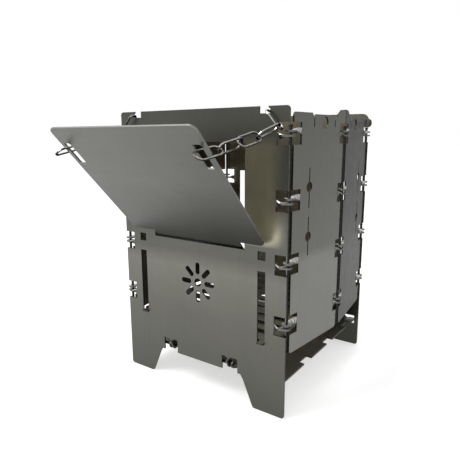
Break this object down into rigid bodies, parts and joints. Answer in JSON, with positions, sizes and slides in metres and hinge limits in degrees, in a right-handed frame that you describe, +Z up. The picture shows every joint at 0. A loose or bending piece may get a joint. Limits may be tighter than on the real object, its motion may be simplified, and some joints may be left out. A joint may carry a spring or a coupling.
{
  "type": "folding pocket wood stove",
  "caption": "Folding stainless steel pocket wood stove with a fire grate, a base plate on its own hinge and a feed door that hangs on chains.",
  "frame": {"origin": "on the ground, in the middle of the footprint of the front and rear panels", "axes": "+Z up, +Y from the front panel towards the rear panel, +X to the viewer's right when facing the front panel"},
  "size_m": [0.1396, 0.1846, 0.175],
  "materials": {
    "panel_steel": "fine vertical grain, satin",
    "wall_steel": "fine grain, satin",
    "plate_steel": "rolled, satin",
    "door_steel": "fine grain along its length, satin",
    "rod_steel": "drawn wire, semi-gloss",
    "chain_steel": "polished wire"
  },
  "bodies": {
    "frame": {"front_panel": "panel_steel", "right_front_rod": "rod_steel", "left_front_rod": "rod_steel", "base_plate_rod": "rod_steel"},
    "right_front_leaf": {"right_front_wall": "wall_steel", "right_middle_rod": "rod_steel"},
    "right_rear_leaf": {"right_rear_wall": "wall_steel", "right_rear_rod": "rod_steel"},
    "back": {"rear_panel": "panel_steel"},
    "left_front_leaf": {"left_front_wall": "wall_steel", "left_middle_rod": "rod_steel"},
    "left_rear_leaf": {"left_rear_wall": "wall_steel", "left_rear_rod": "rod_steel"},
    "grate": {"fire_grate": "plate_steel"},
    "floor_plate": {"base_plate": "plate_steel"},
    "door_flap": {"door": "door_steel"},
    "right_ring": {"right_chain_ring": "chain_steel"},
    "right_link_1": {"right_chain_link_1": "chain_steel"},
    "right_link_2": {"right_chain_link_2": "chain_steel"},
    "right_link_3": {"right_chain_link_3": "chain_steel"},
    "right_link_4": {"right_chain_link_4": "chain_steel"},
    "left_ring": {"left_chain_ring": "chain_steel"},
    "left_link_1": {"left_chain_link_1": "chain_steel"},
    "left_link_2": {"left_chain_link_2": "chain_steel"},
    "left_link_3": {"left_chain_link_3": "chain_steel"},
    "left_link_4": {"left_chain_link_4": "chain_steel"}
  },
  "joints": [
    {"name": "right_front_fold", "type": "hinge", "parent": "frame", "child": "right_front_leaf", "pos_m": [0.0607, -0.0575, 0.103], "axis": [0, 0, 1], "range_deg": [0, 12.7]},
    {"name": "right_middle_fold", "type": "hinge", "parent": "right_front_leaf", "child": "right_rear_leaf", "pos_m": [0.0671, 0, 0.103], "axis": [0, 0, 1], "range_deg": [-25.4, 0]},
    {"name": "rear_panel_fold", "type": "hinge", "parent": "right_rear_leaf", "child": "back", "pos_m": [0.0607, 0.0575, 0.103], "axis": [0, 0, 1], "range_deg": [0, 12.7]},
    {"name": "left_front_fold", "type": "hinge", "parent": "frame", "child": "left_front_leaf", "pos_m": [-0.0607, -0.0575, 0.103], "axis": [0, 0, 1], "range_deg": [-12.7, 0]},
    {"name": "left_middle_fold", "type": "hinge", "parent": "left_front_leaf", "child": "left_rear_leaf", "pos_m": [-0.0671, 0, 0.103], "axis": [0, 0, 1], "range_deg": [0, 25.4]},
    {"name": "grate_lift", "type": "slide", "parent": "frame", "child": "grate", "axis": [0, 0, 1], "range_m": [0, 0.04]},
    {"name": "base_plate_lift", "type": "hinge", "parent": "frame", "child": "floor_plate", "pos_m": [0, -0.0575, 0.0226], "axis": [1, 0, 0], "range_deg": [0, 8]},
    {"name": "door_hinge", "type": "hinge", "parent": "frame", "child": "door_flap", "pos_m": [0, -0.059, 0.0966], "axis": [1, 0, 0], "range_deg": [-12, 0]},
    {"name": "right_ring_swing", "type": "hinge", "parent": "frame", "child": "right_ring", "pos_m": [0.05298, -0.0595, 0.168], "axis": [0.6633, 0, -0.7484], "range_deg": [0, 1.67]},
    {"name": "right_link_1_swing", "type": "hinge", "parent": "right_ring", "child": "right_link_1", "pos_m": [0.0561, -0.0623, 0.1646], "axis": [1, 0, 0], "range_deg": [0, 29.78]},
    {"name": "right_link_2_swing", "type": "hinge", "parent": "right_link_1", "child": "right_link_2", "pos_m": [0.0529, -0.076, 0.1597], "axis": [1, 0, 0], "range_deg": [-45.97, 0]},
    {"name": "right_link_3_swing", "type": "hinge", "parent": "right_link_2", "child": "right_link_3", "pos_m": [0.05145, -0.0899, 0.1566], "axis": [1, 0, 0], "range_deg": [-44.41, 0]},
    {"name": "right_link_4_swing", "type": "hinge", "parent": "right_link_3", "child": "right_link_4", "pos_m": [0.0498, -0.10395, 0.1538], "axis": [1, 0, 0], "range_deg": [0, 55.04]},
    {"name": "left_ring_swing", "type": "hinge", "parent": "frame", "child": "left_ring", "pos_m": [-0.05298, -0.0595, 0.168], "axis": [0.6633, 0, 0.7484], "range_deg": [0, 1.67]},
    {"name": "left_link_1_swing", "type": "hinge", "parent": "left_ring", "child": "left_link_1", "pos_m": [-0.0561, -0.0623, 0.1646], "axis": [1, 0, 0], "range_deg": [0, 29.78]},
    {"name": "left_link_2_swing", "type": "hinge", "parent": "left_link_1", "child": "left_link_2", "pos_m": [-0.0529, -0.076, 0.1597], "axis": [1, 0, 0], "range_deg": [-45.97, 0]},
    {"name": "left_link_3_swing", "type": "hinge", "parent": "left_link_2", "child": "left_link_3", "pos_m": [-0.05145, -0.0899, 0.1566], "axis": [1, 0, 0], "range_deg": [-44.41, 0]},
    {"name": "left_link_4_swing", "type": "hinge", "parent": "left_link_3", "child": "left_link_4", "pos_m": [-0.0498, -0.10395, 0.1538], "axis": [1, 0, 0], "range_deg": [0, 55.04]}
  ],
  "couplings": [
    {"joint": "right_middle_fold", "follows": "right_front_fold", "ratio": -2},
    {"joint": "rear_panel_fold", "follows": "right_front_fold", "ratio": 1},
    {"joint": "left_front_fold", "follows": "right_front_fold", "ratio": -1},
    {"joint": "left_middle_fold", "follows": "right_front_fold", "ratio": 2},
    {"joint": "right_ring_swing", "follows": "door_hinge", "ratio": -0.1383},
    {"joint": "right_link_1_swing", "follows": "door_hinge", "ratio": -2.4807},
    {"joint": "right_link_2_swing", "follows": "door_hinge", "ratio": 3.8302},
    {"joint": "right_link_3_swing", "follows": "door_hinge", "ratio": 3.7},
    {"joint": "right_link_4_swing", "follows": "door_hinge", "ratio": -4.5859},
    {"joint": "left_ring_swing", "follows": "door_hinge", "ratio": -0.1383},
    {"joint": "left_link_1_swing", "follows": "door_hinge", "ratio": -2.4807},
    {"joint": "left_link_2_swing", "follows": "door_hinge", "ratio": 3.8302},
    {"joint": "left_link_3_swing", "follows": "door_hinge", "ratio": 3.7},
    {"joint": "left_link_4_swing", "follows": "door_hinge", "ratio": -4.5859}
  ]
}
